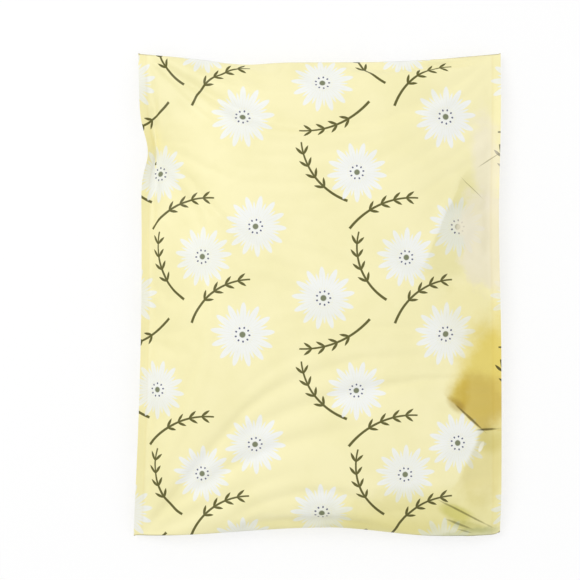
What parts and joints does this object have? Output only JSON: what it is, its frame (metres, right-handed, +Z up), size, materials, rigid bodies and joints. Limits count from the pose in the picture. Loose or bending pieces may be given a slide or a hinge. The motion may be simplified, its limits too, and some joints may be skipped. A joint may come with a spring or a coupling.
{
  "type": "poly mailer",
  "caption": "Sealed plastic-film mailing bag, softly stuffed, with welded side edges and a fold-over flap stuck down behind.",
  "frame": {"origin": "on the floor, under the middle of the filled bag's length and width", "axes": "+X across the bag to the right of its printed front, +Y along the bag towards the flap's fold, +Z up, out of the printed front"},
  "size_m": [0.254, 0.334, 0.0341],
  "materials": {
    "printed_film": "pale yellow printed polyethylene film, satin, soft creases"
  },
  "bodies": {
    "root": {"mailer": "printed_film"}
  },
  "joints": []
}
